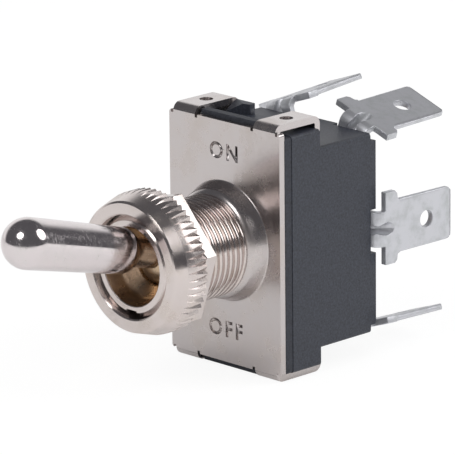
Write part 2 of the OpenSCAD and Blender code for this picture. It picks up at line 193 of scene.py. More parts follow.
class NutSettings(bpy.types.PropertyGroup):
    teeth: count("Knurl teeth", "Teeth round the dress nut", 60, 20, 90)
    tooth_depth: size_mm("Tooth depth", "Depth of the knurl at the nut's back", 0.42, 0.1, 0.6)
    tooth_length: size_mm("Tooth length", "Length of the knurl", 2.8, 1, 4)
    hex_edge: size_mm("Hex nut edge rounding", "Rounding of the hex nut's edges", 0.05, 0.01, 0.2)


class LeverSettings(bpy.types.PropertyGroup):
    throw: angle_of("Throw", "Angle of the lever from the middle", 14.92)
    pivot: size_mm("Pivot", "Distance of the pivot in front of the frame's face", 8.03, 7, 9)
    tip_place: size_mm("Tip place", "Distance from the pivot to the tip's centre", 23.07, 18, 26)
    shoulder_place: size_mm("Shoulder place", "Distance from the pivot to the bat's shoulder", 8.9, 8, 12)
    shoulder_blend: size_mm("Shoulder blend", "Rounding of the bat's rear end", 2, 1, 2.5)
    tip_radius: size_mm("Tip radius", "Radius of the round tip", 2.94, 2, 4)
    shoulder_radius: size_mm("Shoulder radius", "Radius of the bat at its shoulder", 2.66, 2, 4)
    neck_radius: size_mm("Neck radius", "Radius of the neck", 1.75, 1, 3)
    ball_radius: size_mm("Ball radius", "Radius of the ball", 4, 3, 5)
    tail_radius: size_mm("Tail radius", "Radius of the tail", 1.9, 1, 3)
    tail_place: size_mm("Tail place", "Distance from the pivot to the tail's end", 12, 8, 14)


class ContactSettings(bpy.types.PropertyGroup):
    blade_edge: size_mm("Blade edge rounding", "Rounding of the terminals' edges", 0.1, 0.01, 0.2)
    spring_turns: count("Spring turns", "Turns of a plunger spring", 5, 3, 9)


class FinishSettings(bpy.types.PropertyGroup):
    sheet: colour("Sheet nickel", "Colour of the frame's nickel plate", (0.56, 0.52, 0.515))
    turned: colour("Turned nickel", "Colour of the nuts' and bushing's nickel plate", (0.66, 0.595, 0.575))
    bore: colour("Bore", "Colour of the worn plate in the bushing's mouth", (0.50, 0.37, 0.25))
    chrome: colour("Chrome", "Colour of the lever's plate", (0.70, 0.645, 0.65))
    moulding: colour("Moulding", "Colour of the black moulding", (0.034, 0.038, 0.052))
    liner: colour("Liner", "Colour of the insulating liner", (0.028, 0.031, 0.042))
    tin: colour("Tin", "Colour of the terminals' tin plate", (0.66, 0.665, 0.70))
    copper: colour("Copper", "Colour of the contacts", (0.80, 0.50, 0.34))
    nylon: colour("Nylon", "Colour of the crossbar", (0.80, 0.76, 0.66))
    steel: colour("Steel", "Colour of the springs and the pin", (0.56, 0.56, 0.58))


class StageSettings(bpy.types.PropertyGroup):
    azimuth: angle_of("Azimuth", "Camera's turn round the switch", 45.5173)
    elevation: angle_of("Elevation", "Camera's angle over the horizon", 15.7046)
    roll: angle_of("Roll", "Camera's roll", -0.60716)
    distance: FloatProperty(
        name="Distance", description="Camera's distance from the origin", default=0.5699,
        subtype="DISTANCE", unit="LENGTH",
    )
    lens: FloatProperty(
        name="Lens", description="Focal length, in millimetres, on a 36 mm sensor", default=395.31
    )
    floor: colour("Floor", "Colour of the floor", (0.95, 0.95, 0.95))
    left_lamp: watts("Left lamp", "Power of the front left softbox", 0.55)
    right_lamp: watts("Right lamp", "Power of the rear right softbox", 0.85)
    fill: share("Fill", "Strength of the room's even light", 0.5)
    ceiling: share("Ceiling", "Brightness of the dark room that polished metal shows above it", 0.11)


class ToggleSwitchSettings(bpy.types.PropertyGroup):
    frame: PointerProperty(type=FrameSettings)
    housing: PointerProperty(type=HousingSettings)
    thread: PointerProperty(type=ThreadSettings)
    nuts: PointerProperty(type=NutSettings)
    lever: PointerProperty(type=LeverSettings)
    contacts: PointerProperty(type=ContactSettings)
    finish: PointerProperty(type=FinishSettings)
    stage: PointerProperty(type=StageSettings)


# Node groups


def add_node(tree, kind, at=(0, 0), **values):
    """Adds a node and sets its properties, or its sockets where a value's name is a socket's.

    An underscore stands for a space in a socket's name, and second for the socket after the first.
    """
    node = tree.nodes.new(kind)
    node.location = at
    for key, value in values.items():
        if hasattr(node, key):
            setattr(node, key, value)
        elif key == "second":
            node.inputs[1].default_value = value
        else:
            node.inputs[key.replace("_", " ")].default_value = value
    return node


def link_all(tree, *links):
    """Links sockets. Each link is a node, its output, another node and that one's input."""
    for source, output, target, entry in links:
        tree.links.new(source.outputs[output], target.inputs[entry])


def new_group(name, inputs, outputs):
    """A shader node group with named sockets, and its two end nodes."""
    tree = bpy.data.node_groups.new(name, "ShaderNodeTree")
    for label, kind, default in inputs:
        socket = tree.interface.new_socket(name=label, in_out="INPUT", socket_type="NodeSocket" + kind)
        socket.default_value = default
    for label, kind in outputs:
        tree.interface.new_socket(name=label, in_out="OUTPUT", socket_type="NodeSocket" + kind)
    start = add_node(tree, "NodeGroupInput", (-900, 0))
    end = add_node(tree, "NodeGroupOutput", (600, 0))
    return tree, start, end


def grain_group():
    """Fine noise stretched along one direction: rolled or brushed metal, or with no stretch a speckle."""
    name = "Grain"
    if name in bpy.data.node_groups:
        return bpy.data.node_groups[name]
    tree, start, end = new_group(
        name,
        [("Stretch", "Vector", (1, 1, 1)), ("Scale", "Float", 3000.0), ("Contrast", "Float", 1.0)],
        [("Mask", "Float")],
    )
    place = add_node(tree, "ShaderNodeTexCoord", (-900, 300))
    stretch = add_node(tree, "ShaderNodeVectorMath", (-700, 200), operation="MULTIPLY")
    noise = add_node(tree, "ShaderNodeTexNoise", (-450, 200), Detail=4, Roughness=0.6)
    centred = add_node(tree, "ShaderNodeMath", (-250, 200), operation="SUBTRACT", second=0.5)
    scaled = add_node(tree, "ShaderNodeMath", (-50, 200), operation="MULTIPLY")
    raised = add_node(tree, "ShaderNodeMath", (150, 200), operation="ADD", use_clamp=True, second=0.5)
    link_all(
        tree,
        (place, "Object", stretch, 0),
        (start, "Stretch", stretch, 1),
        (stretch, 0, noise, "Vector"),
        (start, "Scale", noise, "Scale"),
        (noise, "Fac", centred, 0),
        (centred, 0, scaled, 0),
        (start, "Contrast", scaled, 1),
        (scaled, 0, raised, 0),
        (raised, 0, end, "Mask"),
    )
    return tree


def handling_group():
    """Broad, soft unevenness from plating and handling, as a colour and a roughness that vary."""
    name = "Handling"
    if name in bpy.data.node_groups:
        return bpy.data.node_groups[name]
    tree, start, end = new_group(
        name,
        [
            ("Colour", "Color", (0.8, 0.8, 0.8, 1)),
            ("Stain", "Color", (0.5, 0.5, 0.5, 1)),
            ("Amount", "Float", 0.2),
            ("Roughness", "Float", 0.2),
            ("Spread", "Float", 0.1),
            ("Scale", "Float", 250.0),
        ],
        [("Colour", "Color"), ("Roughness", "Float")],
    )
    place = add_node(tree, "ShaderNodeTexCoord", (-900, 300))
    noise = add_node(tree, "ShaderNodeTexNoise", (-650, 250), Detail=5, Roughness=0.65)
    band = add_node(
        tree, "ShaderNodeMapRange", (-400, 250), interpolation_type="SMOOTHSTEP",
        From_Min=0.42, From_Max=0.68,
    )
    amount = add_node(tree, "ShaderNodeMath", (-200, 300), operation="MULTIPLY")
    tint = add_node(tree, "ShaderNodeMix", (50, 250), data_type="RGBA")
    spread = add_node(tree, "ShaderNodeMath", (-200, -50), operation="MULTIPLY")
    rough = add_node(tree, "ShaderNodeMath", (50, -50), operation="ADD", use_clamp=True)
    link_all(
        tree,
        (place, "Object", noise, "Vector"),
        (start, "Scale", noise, "Scale"),
        (noise, "Fac", band, "Value"),
        (band, "Result", amount, 0),
        (start, "Amount", amount, 1),
        (amount, 0, tint, "Factor"),
        (start, "Colour", tint, "A"),
        (start, "Stain", tint, "B"),
        (band, "Result", spread, 0),
        (start, "Spread", spread, 1),
        (spread, 0, rough, 0),
        (start, "Roughness", rough, 1),
        (tint, "Result", end, "Colour"),
        (rough, 0, end, "Roughness"),
    )
    return tree


def lathe_group():
    """Height of the rings that a lathe tool leaves round the bushing's axis."""
    name = "Lathe rings"
    if name in bpy.data.node_groups:
        return bpy.data.node_groups[name]
    tree, start, end = new_group(name, [("Scale", "Float", 8000.0)], [("Height", "Float")])
    place = add_node(tree, "ShaderNodeTexCoord", (-900, 300))
    apart = add_node(tree, "ShaderNodeSeparateXYZ", (-700, 300))
    across = add_node(tree, "ShaderNodeCombineXYZ", (-500, 350))
    reach = add_node(tree, "ShaderNodeVectorMath", (-300, 350), operation="LENGTH")
    ringed = add_node(tree, "ShaderNodeCombineXYZ", (-100, 300))
    noise = add_node(tree, "ShaderNodeTexNoise", (100, 300), Detail=2)
    link_all(
        tree,
        (place, "Object", apart, 0),
        (apart, "X", across, "X"),
        (apart, "Z", across, "Y"),
        (across, 0, reach, 0),
        (reach, "Value", ringed, "X"),
        (apart, "Y", ringed, "Y"),
        (ringed, 0, noise, "Vector"),
        (start, "Scale", noise, "Scale"),
        (noise, "Fac", end, "Height"),
    )
    return tree


# Materials


def finish_base(name, metallic, roughness, tone):
    """A material with one Principled shader. Returns the material, its tree and the shader."""
    mat = bpy.data.materials.new(name)
    mat.use_nodes = True
    mat.diffuse_color = (*tone, 1)
    shader = mat.node_tree.nodes["Principled BSDF"]
    shader.inputs["Metallic"].default_value = metallic
    shader.inputs["Roughness"].default_value = roughness
    shader.inputs["Base Color"].default_value = (*tone, 1)
    return mat, mat.node_tree, shader


def place_group(tree, group, at, **values):
    return add_node(tree, "ShaderNodeGroup", at, node_tree=group, **values)


def handled(tree, shader, tone, stain, amount, roughness, spread, scale):
    """Varies a shader's colour and roughness as plating and handling do. Returns the group's node."""
    marks = place_group(
        tree, handling_group(), (-600, 200), Colour=(*tone, 1), Stain=(*stain, 1),
        Amount=amount, Roughness=roughness, Spread=spread, Scale=scale,
    )
    link_all(tree, (marks, "Colour", shader, "Base Color"), (marks, "Roughness", shader, "Roughness"))
    return marks


def grained(tree, at, stretch, scale, contrast):
    return place_group(tree, grain_group(), at, Stretch=stretch, Scale=scale, Contrast=contrast)


def bump(tree, shader, source, strength, depth_mm):
    """Raises a shader's surface by the first output of a node."""
    node = add_node(tree, "ShaderNodeBump", (-200, -300), Strength=strength, Distance=depth_mm * MM)
    link_all(tree, (source, 0, node, "Height"), (node, 0, shader, "Normal"))


def sheet_nickel(tone):
    """Nickel plate on rolled sheet: a fine upright grain, satin, with a few cloudy marks."""
    mat, tree, shader = finish_base("Sheet nickel", 1, 0.3, tone)
    handled(tree, shader, tone, (0.60, 0.52, 0.46), amount=0.35, roughness=0.22, spread=0.12, scale=160)
    grain = grained(tree, (-600, -200), stretch=(1, 1, 0.04), scale=9000, contrast=1.6)
    bump(tree, shader, grain, 0.35, 0.004)
    return mat


def nickel_over_brass(name, tone, roughness):
    """The nickel plate of the turned pieces. Returns the material, its tree and the shader."""
    mat, tree, shader = finish_base(name, 1, roughness, tone)
    handled(tree, shader, tone, (0.58, 0.50, 0.42), amount=0.3, roughness=roughness, spread=0.09, scale=350)
    rings = place_group(tree, lathe_group(), (-600, -200), Scale=9000)
    bump(tree, shader, rings, 0.3, 0.004)
    return mat, tree, shader


def turned_nickel(tone):
    """Nickel plate on turned brass, with its gloss spread across the tool's marks round the axis."""
    mat, tree, shader = nickel_over_brass("Turned nickel", tone, 0.2)
    shader.inputs["Anisotropic"].default_value = 0.9
    shader.inputs["Anisotropic Rotation"].default_value = 0.25
    round_axis = add_node(tree, "ShaderNodeTangent", (-200, -500), direction_type="RADIAL", axis="Y")
    link_all(tree, (round_axis, 0, shader, "Tangent"))
    return mat


def worn_bore(tone):
    """Thin plate over brass, in the bushing's mouth and on the lever's ball."""
    mat, tree, shader = finish_base("Worn bore", 1, 0.3, tone)
    handled(tree, shader, tone, (0.30, 0.21, 0.15), amount=0.6, roughness=0.25, spread=0.15, scale=420)
    rings = place_group(tree, lathe_group(), (-600, -200), Scale=6000)
    bump(tree, shader, rings, 0.3, 0.005)
    return mat


def polished_chrome(tone):
    """Polished plate with faint handling marks and fine scuffs."""
    mat, tree, shader = finish_base("Polished chrome", 1, 0.07, tone)
    marks = handled(
        tree, shader, tone, (0.66, 0.63, 0.62), amount=0.4, roughness=0.09, spread=0.1, scale=500
    )
    scuffs = grained(tree, (-900, -200), stretch=(0.25, 1, 0.25), scale=8000, contrast=1.5)
    dulled = add_node(
        tree, "ShaderNodeMapRange", (-600, -200), From_Min=0.5, From_Max=0.9, To_Max=0.2
    )
    rough = add_node(tree, "ShaderNodeMath", (-300, 0), operation="ADD", use_clamp=True)
    link_all(
        tree,
        (scuffs, "Mask", dulled, "Value"),
        (marks, "Roughness", rough, 0),
        (dulled, "Result", rough, 1),
        (rough, 0, shader, "Roughness"),
    )
    bump(tree, shader, scuffs, 0.2, 0.003)
    return mat


def black_moulding(name, tone, roughness):
    """Black moulding compound: charcoal, with a fine pale and dark speckle and a slight orange peel."""
    mat, tree, shader = finish_base(name, 0, roughness, tone)
    speckle = grained(tree, (-800, 200), stretch=(1, 1, 1), scale=4200, contrast=2.6)
    peel = grained(tree, (-600, -200), stretch=(1, 1, 1), scale=2200, contrast=1.2)
    dark = (*[c * 0.62 for c in tone], 1)
    pale = (*[c * 1.55 for c in tone], 1)
    mix = add_node(tree, "ShaderNodeMix", (-400, 200), data_type="RGBA", A=dark, B=pale)
    link_all(tree, (speckle, "Mask", mix, "Factor"), (mix, "Result", shader, "Base Color"))
    bump(tree, shader, peel, 0.25, 0.02)
    return mat


def tin_plate(tone):
    """Matt tin on brass strip: pale, slightly mottled, with a rolled grain."""
    mat, tree, shader = finish_base("Tin plate", 0.8, 0.4, tone)
    handled(tree, shader, tone, (0.52, 0.54, 0.54), amount=0.5, roughness=0.42, spread=0.14, scale=600)
    grain = grained(tree, (-600, -200), stretch=(1, 0.2, 1), scale=6000, contrast=1.5)
    bump(tree, shader, grain, 0.3, 0.006)
    return mat


def inner_metal(name, tone, stain, roughness):
    """Plain metal of the inner pieces, with a light tarnish."""
    mat, tree, shader = finish_base(name, 1, roughness, tone)
    handled(tree, shader, tone, stain, amount=0.5, roughness=roughness, spread=0.2, scale=700)
    return mat


def natural_nylon(tone):
    """Undyed nylon: cream and slightly mottled."""
    mat, tree, shader = finish_base("Natural nylon", 0, 0.42, tone)
    handled(tree, shader, tone, (0.70, 0.64, 0.50), amount=0.4, roughness=0.4, spread=0.1, scale=500)
    return mat


def finish_named(name):
    """The material for a finish, made when it is first asked for."""
    if name in bpy.data.materials:
        return bpy.data.materials[name]
    finish = bpy.context.scene.toggle_switch.finish
    makers = {
        "Sheet nickel": lambda: sheet_nickel(finish.sheet),
        "Turned nickel": lambda: turned_nickel(finish.turned),
        "Knurled nickel": lambda: nickel_over_brass(name, finish.turned, 0.25)[0],
        "Bright nickel": lambda: nickel_over_brass(name, finish.turned, 0.13)[0],
        "Worn bore": lambda: worn_bore(finish.bore),
        "Polished chrome": lambda: polished_chrome(finish.chrome),
        "Black moulding": lambda: black_moulding(name, finish.moulding, 0.48),
        "Fibre liner": lambda: black_moulding(name, finish.liner, 0.6),
        "Tin plate": lambda: tin_plate(finish.tin),
        "Contact copper": lambda: inner_metal(name, finish.copper, (0.42, 0.24, 0.15), 0.28),
        "Natural nylon": lambda: natural_nylon(finish.nylon),
        "Plain steel": lambda: inner_metal(name, finish.steel, (0.36, 0.35, 0.35), 0.3),
    }
    return makers[name]()


# Shapes


def linked(name, data):
    """A new object in the scene."""
    holder = bpy.data.objects.new(name, data)
    bpy.context.scene.collection.objects.link(holder)
    return holder


def applied(holder):
    """The mesh of an object with its modifiers applied. The object is removed."""
    seen = holder.evaluated_get(bpy.context.evaluated_depsgraph_get())
    mesh = bpy.data.meshes.new_from_object(seen)
    mesh.name = holder.name
    old = holder.data
    bpy.data.objects.remove(holder)
    bpy.data.meshes.remove(old)
    return mesh


def add_piece(name, mesh, body, finishes, replaced, crease=32):
    """Links a mesh as a piece of the switch, smooth but for its sharper edges."""
    mesh.shade_smooth()
    mesh.set_sharp_from_angle(angle=math.radians(crease))
    holder = linked(name, mesh)
    weighted = holder.modifiers.new("Flat faces first", "WEIGHTED_NORMAL")
    weighted.keep_sharp = True
    mesh = applied(holder)
    for finish in finishes:
        mesh.materials.append(finish_named(finish))
    piece = linked(name, mesh)
    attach(piece, body)
    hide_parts(*replaced)
    return piece


def mesh_from(name, bm, place):
    """Closes a bmesh in millimetres off into a mesh in metres, placed and turned outwards."""
    bmesh.ops.remove_doubles(bm, verts=bm.verts, dist=SAME_POINT)
    bmesh.ops.recalc_face_normals(bm, faces=bm.faces)
    mesh = bpy.data.meshes.new(name)
    bm.to_mesh(mesh)
    bm.free()
    mesh.transform(Matrix.Scale(MM, 4) @ place)
    return mesh


def arc(centre, radius, start, stop, steps):
    """Points of an arc in the plane of an outline, from one angle to another."""
    points = []
    for i in range(steps + 1):
        a = start + (stop - start) * i / steps
        points.append((centre[0] + radius * math.cos(a), centre[1] + radius * math.sin(a)))
    return points


def rounded(profile, steps=4):
    """A closed outline of (radius, length, fillet) corners, with each fillet drawn as an arc."""
    points = []
    straight = math.radians(179)
    longest = 0.49  # of a side that a fillet may take up
    for i, (r, z, fillet) in enumerate(profile):
        here = Vector((r, z))
        before = Vector(profile[i - 1][:2]) - here
        after = Vector(profile[(i + 1) % len(profile)][:2]) - here
        turn = before.angle(after) if before.length and after.length else math.pi
        if not fillet or turn > straight:
            points.append((r, z))
            continue
        back = min(fillet / math.tan(turn / 2), before.length * longest, after.length * longest)
        radius = back * math.tan(turn / 2)
        inward = (before.normalized() + after.normalized()).normalized()
        centre = here + inward * radius / math.sin(turn / 2)
        first = here + before.normalized() * back - centre
        last = here + after.normalized() * back - centre
        sweep = first.angle_signed(last)
        for k in range(steps + 1):
            a = -sweep * k / steps
            cos_a, sin_a = math.cos(a), math.sin(a)
            spoke = Vector((first.x * cos_a - first.y * sin_a, first.x * sin_a + first.y * cos_a))
            points.append(tuple(centre + spoke))
    return points


def even_angles(steps):
    return [2 * math.pi * i / steps for i in range(steps)]


def bridge(bm, rings, closed):
    """Fills the bands between neighbouring rows of vertices, of which each is a ring if closed."""
    for one, other in zip(rings, rings[1:]):
        for k in range(len(one) if closed else len(one) - 1):
            j = (k + 1) % len(one)
            bm.faces.new((one[k], one[j], other[j], other[k]))


def turned_bmesh(outline, angles, reshape=None, closed=True):
    """Copies of an outline of (radius, length) points round +Z, with each point moved by reshape."""
    bm = bmesh.new()
    rings = []
    for column, angle in enumerate(angles):
        ring = []
        for r, z in outline:
            place = angle
            if reshape:
                r, place = reshape(r, z, column, angle)
            ring.append(bm.verts.new((r * math.cos(place), r * math.sin(place), z)))
        rings.append(ring)
    bridge(bm, [*rings, rings[0]], closed)
    return bm


def plain_copy(node):
    """A copy of a CAD node's mesh with its flat faces whole."""
    bm = bmesh.new()
    bm.from_mesh(frame["nodes"][node].data)
    bmesh.ops.remove_doubles(bm, verts=bm.verts, dist=SAME_CAD_POINT)
    bmesh.ops.dissolve_limit(bm, angle_limit=SAME_FACE, verts=bm.verts, edges=bm.edges)
    mesh = bpy.data.meshes.new(node + "_copy")
    bm.to_mesh(mesh)
    bm.free()
    return mesh


def eased_copy(node, width_mm, segments=2, sharp=28, clamp=True):
    """A copy of a CAD node's mesh with its edges over a sharp angle rounded."""
    holder = linked(node + "_eased", plain_copy(node))
    bevel = holder.modifiers.new("Edges", "BEVEL")
    bevel.width = width_mm * MM
    bevel.segments = segments
    bevel.limit_method = "ANGLE"
    bevel.angle_limit = math.radians(sharp)
    bevel.miter_outer = "MITER_ARC"
    bevel.use_clamp_overlap = clamp
    return applied(holder)


def add_eased(name, node, width_mm, body, slot, finish, **bevel):
    """Adds a CAD node with its edges rounded as a piece."""
    add_piece(name, eased_copy(node, width_mm, **bevel), body, [finish], [node])


def cut_with(mesh, tool):
    """A mesh with another one, a closed tool, cut away from it."""
    holder = linked(mesh.name, mesh)
    cutter = linked("Cutter", tool)
    cut = holder.modifiers.new("Cut", "BOOLEAN")
    cut.operation = "DIFFERENCE"
    cut.solver = "EXACT"
    cut.object = cutter
    result = applied(holder)
    bpy.data.objects.remove(cutter)
    bpy.data.meshes.remove(tool)
    return result


def word_mesh(word, height_mm, depth_mm, weight, centre_mm):
    """A word as a closed mesh that stands in the frame's front face, read from the front."""
    curve = bpy.data.curves.new("Word", "FONT")
    curve.body = word
    curve.align_x = "CENTER"
    curve.size = 1
    curve.space_character = 1.3
    curve.offset = weight
    curve.resolution_u = 4
    curve.extrude = 1
    holder = linked("Word", curve)
    bpy.context.view_layer.update()
    seen = holder.evaluated_get(bpy.context.evaluated_depsgraph_get())
    mesh = bpy.data.meshes.new_from_object(seen)
    bpy.data.objects.remove(holder)
    bpy.data.curves.remove(curve)
    bm = bmesh.new()
    bm.from_mesh(mesh)
    bmesh.ops.remove_doubles(bm, verts=bm.verts, dist=1e-5)
    low = min(v.co.y for v in bm.verts)
    high = max(v.co.y for v in bm.verts)
    scale = height_mm * MM / (high - low)
    for v in bm.verts:
        v.co.y = (v.co.y - (low + high) / 2) * scale
        v.co.x = v.co.x * scale
        v.co.z = v.co.z * depth_mm * MM
    bmesh.ops.recalc_face_normals(bm, faces=bm.faces)
    bm.to_mesh(mesh)
    bm.free()
    mesh.transform(Matrix.Translation(Vector(centre_mm) * MM) @ FORWARD)
    return mesh


def along_lever(lever, centre):
    """Turns +Z into the lever's own direction and moves the origin to a centre in millimetres."""
    return Matrix.Translation(centre) @ Matrix.Rotation(math.radians(90) - lever.throw, 4, "X")


# Pieces


class SWITCH_OT_frame_plate(bpy.types.Operator):
    """Builds the sheet frame, with a word stamped over and under the bushing"""

    bl_idname = "toggle_switch.frame_plate"
    bl_label = "Frame"

    def execute(self, context):
        part = context.scene.toggle_switch.frame
        mesh = plain_copy("frame")
        for word, side in ((part.upper_word, 1), (part.lower_word, -1)):
            place = (0, 0, side * part.letter_z)
            tool = word_mesh(word, part.letter_height, part.letter_depth, part.letter_weight, place)
            mesh = cut_with(mesh, tool)
        add_piece("frame_plate", mesh, "switch_body", ["Sheet nickel"], ["frame"])
        return {"FINISHED"}


class SWITCH_OT_housing(bpy.types.Operator):
    """Builds the moulded housing and the insulating liner under the sheet"""

    bl_idname = "toggle_switch.housing"
    bl_label = "Housing and liner"

    def execute(self, context):
        part = context.scene.toggle_switch.housing
        mesh = plain_copy("housing")
        add_piece("housing_moulding", mesh, "switch_body", ["Black moulding"], ["housing"])
        add_eased("liner_sheet", "liner", part.liner_edge, "switch_body", "fibre", "Fibre liner")
        return {"FINISHED"}


def keyed(r, z, thread_r, foot_y, below):
    """A radius of the bushing, less where the keyway is. below is the angle from straight down."""
    if abs(below) < math.asin(KEY_WIDTH / 2 / thread_r) and z > foot_y + KEY_START:
        return min(r, (thread_r - KEY_DEPTH) / math.cos(below))
    return r


def thread_band(bm, thread, thread_r, foot_y, rim_y, angles):
    """The thread's turns and the chamfer in front of them, as rows of faces that follow the helix."""
    # Places of the rows in one turn, from the middle of a crest, and their parts of the full depth
    form = [(-0.27, 0.1), (-0.13, 0), (0.13, 0), (0.27, 0.1), (0.39, 0.75), (0.5, 1), (0.61, 0.75)]
    run_out = 0.5
    turns = math.ceil((rim_y - foot_y) / thread.pitch) + 1
    rings = []
    for angle in [*angles, angles[0] + 2 * math.pi]:
        below = (angle + math.pi / 2 + math.pi) % (2 * math.pi) - math.pi
        ring = []
        for turn in range(-1, turns):
            for place, part_depth in form:
                z = foot_y + thread.pitch * (turn + place + angle / (2 * math.pi))
                z = min(rim_y, max(foot_y, z))
                fade = min(1, (z - foot_y) / run_out)
                groove = thread.depth * part_depth * fade
                r = min(thread_r - groove, thread_r - thread.rim_chamfer + rim_y - z)
                r = keyed(r, z, thread_r, foot_y, below)
                ring.append(bm.verts.new((r * math.cos(angle), r * math.sin(angle), z)))
        rings.append(ring)
    bridge(bm, rings, closed=False)


class SWITCH_OT_bushing(bpy.types.Operator):
    """Builds the threaded bushing, with its keyway and its worn mouth"""

    bl_idname = "toggle_switch.bushing"
    bl_label = "Bushing"

    def execute(self, context):
        part = context.scene.toggle_switch.thread
        pivot = context.scene.toggle_switch.lever.pivot
        rim_y = -cad_low("bushing").y
        back_y = -cad_high("bushing").y
        thread_r = cad_high("bushing").x
        foot_y = -cad_low("frame").y
        stake_y = back_y + STAKE_THICKNESS
        rim_r = thread_r - part.rim_chamfer
        # The outline runs from the rim down the mouth and the ball's seat to the back and up outside
        start = math.acos(part.throat_radius / part.seat_radius)
        stop = math.acos(part.bore_radius / part.seat_radius)
        throat_y = pivot + part.seat_radius * math.sin(start)
        throat_length = 0.3
        seat = arc((0, pivot), part.seat_radius, start, stop, steps=12)
        mouth = rounded(
            [
                (rim_r, rim_y, 0),
                (part.mouth_radius, rim_y, 0.12),
                (part.bowl_radius, rim_y - part.bowl_depth, 1.4),
                (part.throat_radius, throat_y + throat_length, 0.4),
                (part.throat_radius, throat_y, 0),
            ]
        )
        outline = mouth + seat + [
            (part.bore_radius, back_y), (STAKE_RADIUS, back_y), (STAKE_RADIUS, stake_y),
            (BOSS_HOLE_RADIUS, stake_y), (BOSS_HOLE_RADIUS, foot_y), (thread_r, foot_y),
        ]
        # Even columns, but for two pairs close to the keyway's sides, which keep them sharp
        key_side = math.asin(KEY_WIDTH / 2 / thread_r)
        clear, sharp = 0.02, 0.004
        angles = [a for a in even_angles(part.columns) if abs(abs(a - STRAIGHT_DOWN) - key_side) > clear]
        for side in (-1, 1):
            for off in (-sharp, sharp):
                angles.append(STRAIGHT_DOWN + side * (key_side + off))
        angles.sort()

        def cut_key(r, z, column, angle):
            return keyed(r, z, thread_r, foot_y, angle - STRAIGHT_DOWN), angle

        bm = turned_bmesh(outline, angles, cut_key, closed=False)
        thread_band(bm, part, thread_r, foot_y, rim_y, angles)
        mesh = mesh_from("bushing_turned", bm, FORWARD)
        finishes = ["Turned nickel", "Worn bore", "Bright nickel"]
        piece = add_piece("bushing_turned", mesh, "switch_body", finishes, ["bushing"])
        mouth_reach = part.mouth_radius * 0.99
        thread_reach = thread_r - part.depth - 0.1
        for face in piece.data.polygons:
            reach = math.hypot(face.center.x, face.center.z) / MM
            if reach < mouth_reach:
                face.material_index = 1
            elif -face.center.y / MM > foot_y and reach > thread_reach:
                face.material_index = 2
        return {"FINISHED"}


class SWITCH_OT_dress_nut(bpy.types.Operator):
    """Builds the round nut, whose knurl runs out to points towards the front"""

    bl_idname = "toggle_switch.dress_nut"
    bl_label = "Dress nut"

    def execute(self, context):
        part = context.scene.toggle_switch.nuts
        back_y = -cad_high("dress_nut").y
        front_y = -cad_low("dress_nut").y
        outer_r = cad_high("dress_nut").z
        knurl_y = back_y + part.tooth_length
        face_r, bore_r, countersink = 7.35, 6.0, 0.15
        back_edge = 0.05
        # The outside is straight up to the cone's start and narrows to its front end
        cone_r, cone_y = 7.6, back_y + 1.8
        cone_front = front_y - 0.14
        corners = rounded(
            [
                (bore_r, back_y, 0),
                (outer_r - back_edge, back_y, 0),
                (outer_r, back_y + back_edge, 0),
                (cone_r, cone_front, 0.15),
                (face_r, front_y, 0.05),
                (bore_r + countersink, front_y, 0.06),
                (bore_r, front_y - countersink, 0),
            ],
            steps=5,
        )
        # Rows along the knurl, of which the last one lies where its grooves end
        rows = 6
        outline = corners[:3]
        for i in range(1, rows + 1):
            z = back_y + back_edge + (part.tooth_length - back_edge) * i / rows
            narrowed = outer_r - (outer_r - cone_r) * (z - cone_y) / (cone_front - cone_y)
            outline.append((min(outer_r, narrowed), z))
        outline += corners[3:]
        pitch = 2 * math.pi / part.teeth
        columns = 8
        knurl_r = cone_r + 0.1

        def knurl(r, z, column, angle):
            if r < knurl_r or z > knurl_y + 0.001:
                return r, angle
            depth = max(0, part.tooth_depth * (1 - (z - back_y) / part.tooth_length))
            tooth, step = divmod(column, columns)
            middle = pitch * (tooth + 0.5)
            # Half of a tooth's columns are spread over its groove, the others over the land
            off = (step - columns / 2) / (columns / 2)
            groove = min(depth / r, pitch * 0.49)
            if abs(off) <= 0.5:
                return r - depth * (1 - 2 * abs(off)), middle + 2 * off * groove
            land = groove + (pitch / 2 - groove) * (2 * abs(off) - 1)
            return r, middle + math.copysign(land, off)

        bm = turned_bmesh(outline, even_angles(part.teeth * columns), knurl)
        mesh = mesh_from("dress_nut_turned", bm, FORWARD)
        finishes = ["Turned nickel", "Knurled nickel"]
        piece = add_piece(
            "dress_nut_turned", mesh, "dress_nut", finishes, ["dress_nut"], crease=24
        )
        for face in piece.data.polygons:
            reach = math.hypot(face.center.x, face.center.z) / MM
            if face.normal.y > -0.5 and reach > face_r and -face.center.y / MM < knurl_y:
                face.material_index = 1
        return {"FINISHED"}


class SWITCH_OT_hex_nut(bpy.types.Operator):
    """Builds the thin hexagon nut behind the dress nut"""

    bl_idname = "toggle_switch.hex_nut"
    bl_label = "Hex nut"

    def execute(self, context):
        part = context.scene.toggle_switch.nuts
        add_eased("hex_nut_pressed", "hex_nut", part.hex_edge, "hex_nut", "nickel", "Bright nickel")
        return {"FINISHED"}


